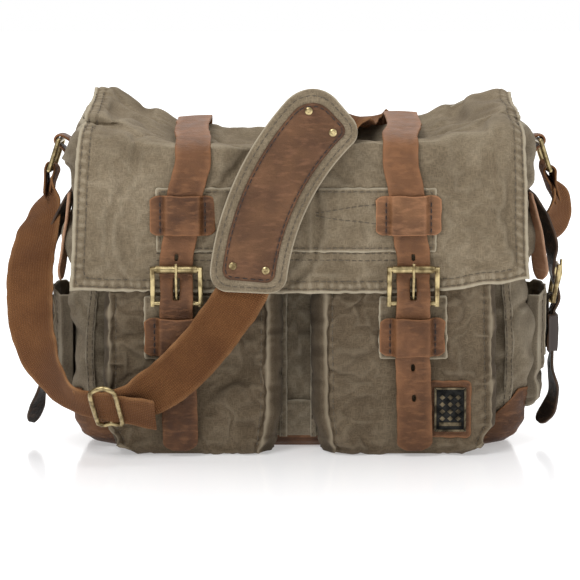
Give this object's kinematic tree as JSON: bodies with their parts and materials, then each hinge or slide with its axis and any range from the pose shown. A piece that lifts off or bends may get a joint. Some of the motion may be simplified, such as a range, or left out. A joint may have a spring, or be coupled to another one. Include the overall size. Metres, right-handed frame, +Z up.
{
  "type": "messenger bag",
  "caption": "Canvas messenger bag with leather closure straps, pleated front pockets, side pockets, zips and a padded webbing shoulder strap.",
  "frame": {"origin": "on the ground, under the middle of the bag's base, 12 mm in front of the base's own centre line", "axes": "+X to the bag's right as seen from the front, +Y to the back, +Z up; the front with its flap and buckles faces -Y"},
  "size_m": [0.4523, 0.206, 0.2939],
  "materials": {
    "canvas": "washed cotton canvas, grey-olive",
    "leather_brown": "oiled mid brown",
    "leather_dark": "near-black",
    "leather_tan": "tan",
    "lining_cloth": "plain cotton",
    "board": "matt",
    "webbing": "ribbed cotton webbing, brown",
    "brass": "antique, dull"
  },
  "bodies": {
    "bag": {"front_panel": "canvas", "back_panel": "canvas", "side_gusset_left": "canvas", "side_gusset_right": "canvas", "leather_base": "leather_brown", "leather_corners": "leather_brown", "base_board": "board", "lining": "lining_cloth", "laptop_sleeve": "lining_cloth", "pocket_face_left": "canvas", "pocket_face_right": "canvas", "pocket_gusset_left": "canvas", "pocket_gusset_right": "canvas", "snap_plates": "brass", "badge_patch": "leather_brown", "badge_plate": "brass", "side_pocket_left": "canvas", "side_pocket_right": "canvas", "side_patches": "canvas", "side_chapes": "leather_dark", "side_keepers": "leather_dark", "side_straps": "leather_dark", "ring_tabs": "leather_brown", "webbing_right": "webbing", "top_zip_tapes": "lining_cloth", "top_zip_chain": "brass", "back_zip_tapes": "lining_cloth", "back_zip_chain": "brass"},
    "flap": {"flap_canvas": "canvas", "flap_patch": "canvas", "strap_left": "leather_brown", "strap_right": "leather_brown", "upper_keepers": "leather_brown", "lower_keepers": "leather_brown", "lower_patches": "canvas", "chapes": "leather_brown", "snap_magnets": "brass"},
    "shoulder_strap": {"webbing_main": "webbing", "adjuster": "brass", "pad_canvas": "canvas", "pad_leather": "leather_brown", "pad_rivets": "brass"},
    "buckle_frame_left": {"buckle_frame_left": "brass"},
    "buckle_frame_right": {"buckle_frame_right": "brass"},
    "buckle_roller_left": {"buckle_roller_left": "brass"},
    "buckle_roller_right": {"buckle_roller_right": "brass"},
    "buckle_prong_left": {"buckle_prong_left": "brass"},
    "buckle_prong_right": {"buckle_prong_right": "brass"},
    "side_buckle_left": {"side_buckle_left": "brass"},
    "side_buckle_right": {"side_buckle_right": "brass"},
    "side_prong_left": {"side_prong_left": "brass"},
    "side_prong_right": {"side_prong_right": "brass"},
    "ring_left": {"ring_left": "brass"},
    "ring_right": {"ring_right": "brass"},
    "top_zip_slider": {"top_zip_slider": "brass"},
    "top_zip_pull": {"top_zip_pull": "brass"},
    "back_zip_slider": {"back_zip_slider": "brass"},
    "back_zip_pull": {"back_zip_pull": "brass"},
    "side_tab_left": {"side_tab_left": "leather_tan"},
    "side_tab_right": {"side_tab_right": "leather_tan"}
  },
  "joints": [
    {"name": "flap_hinge", "type": "hinge", "parent": "bag", "child": "flap", "pos_m": [0, 0.06, 0.248], "axis": [-1, 0, 0], "range_deg": [0, 105]},
    {"name": "shoulder_strap_swing", "type": "hinge", "parent": "bag", "child": "shoulder_strap", "pos_m": [0, 0.06, 0.248], "axis": [-1, 0, 0], "range_deg": [0, 116]},
    {"name": "ring_left_swing", "type": "hinge", "parent": "bag", "child": "ring_left", "pos_m": [-0.196, 0.04, 0.243], "axis": [0, 1, 0], "range_deg": [0, 148]},
    {"name": "ring_right_swing", "type": "hinge", "parent": "bag", "child": "ring_right", "pos_m": [0.196, 0.04, 0.243], "axis": [0, -1, 0], "range_deg": [-15, 30]},
    {"name": "buckle_left_tilt", "type": "hinge", "parent": "flap", "child": "buckle_frame_left", "pos_m": [-0.096, -0.0758, 0.122], "axis": [1, 0, 0], "range_deg": [0, 12]},
    {"name": "roller_left_spin", "type": "hinge", "parent": "buckle_frame_left", "child": "buckle_roller_left", "pos_m": [-0.096, -0.0801, 0.149], "axis": [1, 0, 0], "continuous": true},
    {"name": "prong_left_lift", "type": "hinge", "parent": "buckle_frame_left", "child": "buckle_prong_left", "pos_m": [-0.096, -0.0758, 0.122], "axis": [1, 0, 0], "range_deg": [0, 40]},
    {"name": "buckle_right_tilt", "type": "hinge", "parent": "flap", "child": "buckle_frame_right", "pos_m": [0.088, -0.0758, 0.122], "axis": [1, 0, 0], "range_deg": [0, 12]},
    {"name": "roller_right_spin", "type": "hinge", "parent": "buckle_frame_right", "child": "buckle_roller_right", "pos_m": [0.088, -0.0801, 0.149], "axis": [1, 0, 0], "continuous": true},
    {"name": "prong_right_lift", "type": "hinge", "parent": "buckle_frame_right", "child": "buckle_prong_right", "pos_m": [0.088, -0.0758, 0.122], "axis": [1, 0, 0], "range_deg": [0, 40]},
    {"name": "side_buckle_left_tilt", "type": "hinge", "parent": "bag", "child": "side_buckle_left", "pos_m": [-0.2059, 0.014, 0.115], "axis": [0, -1, 0], "range_deg": [0, 12]},
    {"name": "side_prong_left_lift", "type": "hinge", "parent": "side_buckle_left", "child": "side_prong_left", "pos_m": [-0.2059, 0.014, 0.115], "axis": [0, -1, 0], "range_deg": [0, 40]},
    {"name": "side_buckle_right_tilt", "type": "hinge", "parent": "bag", "child": "side_buckle_right", "pos_m": [0.2059, 0.014, 0.115], "axis": [0, 1, 0], "range_deg": [0, 12]},
    {"name": "side_prong_right_lift", "type": "hinge", "parent": "side_buckle_right", "child": "side_prong_right", "pos_m": [0.2059, 0.014, 0.115], "axis": [0, 1, 0], "range_deg": [0, 40]},
    {"name": "top_zip_slide", "type": "slide", "parent": "bag", "child": "top_zip_slider", "axis": [1, 0, 0], "range_m": [0, 0.29]},
    {"name": "top_zip_pull_swing", "type": "hinge", "parent": "top_zip_slider", "child": "top_zip_pull", "pos_m": [-0.15, 0.012, 0.2337], "axis": [0, -1, 0], "range_deg": [0, 150]},
    {"name": "back_zip_slide", "type": "slide", "parent": "bag", "child": "back_zip_slider", "axis": [1, 0, 0], "range_m": [0, 0.14]},
    {"name": "back_zip_pull_swing", "type": "hinge", "parent": "back_zip_slider", "child": "back_zip_pull", "pos_m": [-0.095, 0.0678, 0.196], "axis": [0, 0, 1], "range_deg": [0, 150]},
    {"name": "side_tab_left_swing", "type": "hinge", "parent": "bag", "child": "side_tab_left", "pos_m": [-0.1856, -0.019, 0.204], "axis": [0, 1, 0], "range_deg": [0, 4]},
    {"name": "side_tab_right_swing", "type": "hinge", "parent": "bag", "child": "side_tab_right", "pos_m": [0.1856, -0.019, 0.204], "axis": [0, -1, 0], "range_deg": [0, 60]}
  ],
  "couplings": [
    {"joint": "shoulder_strap_swing", "follows": "flap_hinge", "ratio": 1.1},
    {"joint": "ring_left_swing", "follows": "flap_hinge", "ratio": 1.4}
  ]
}
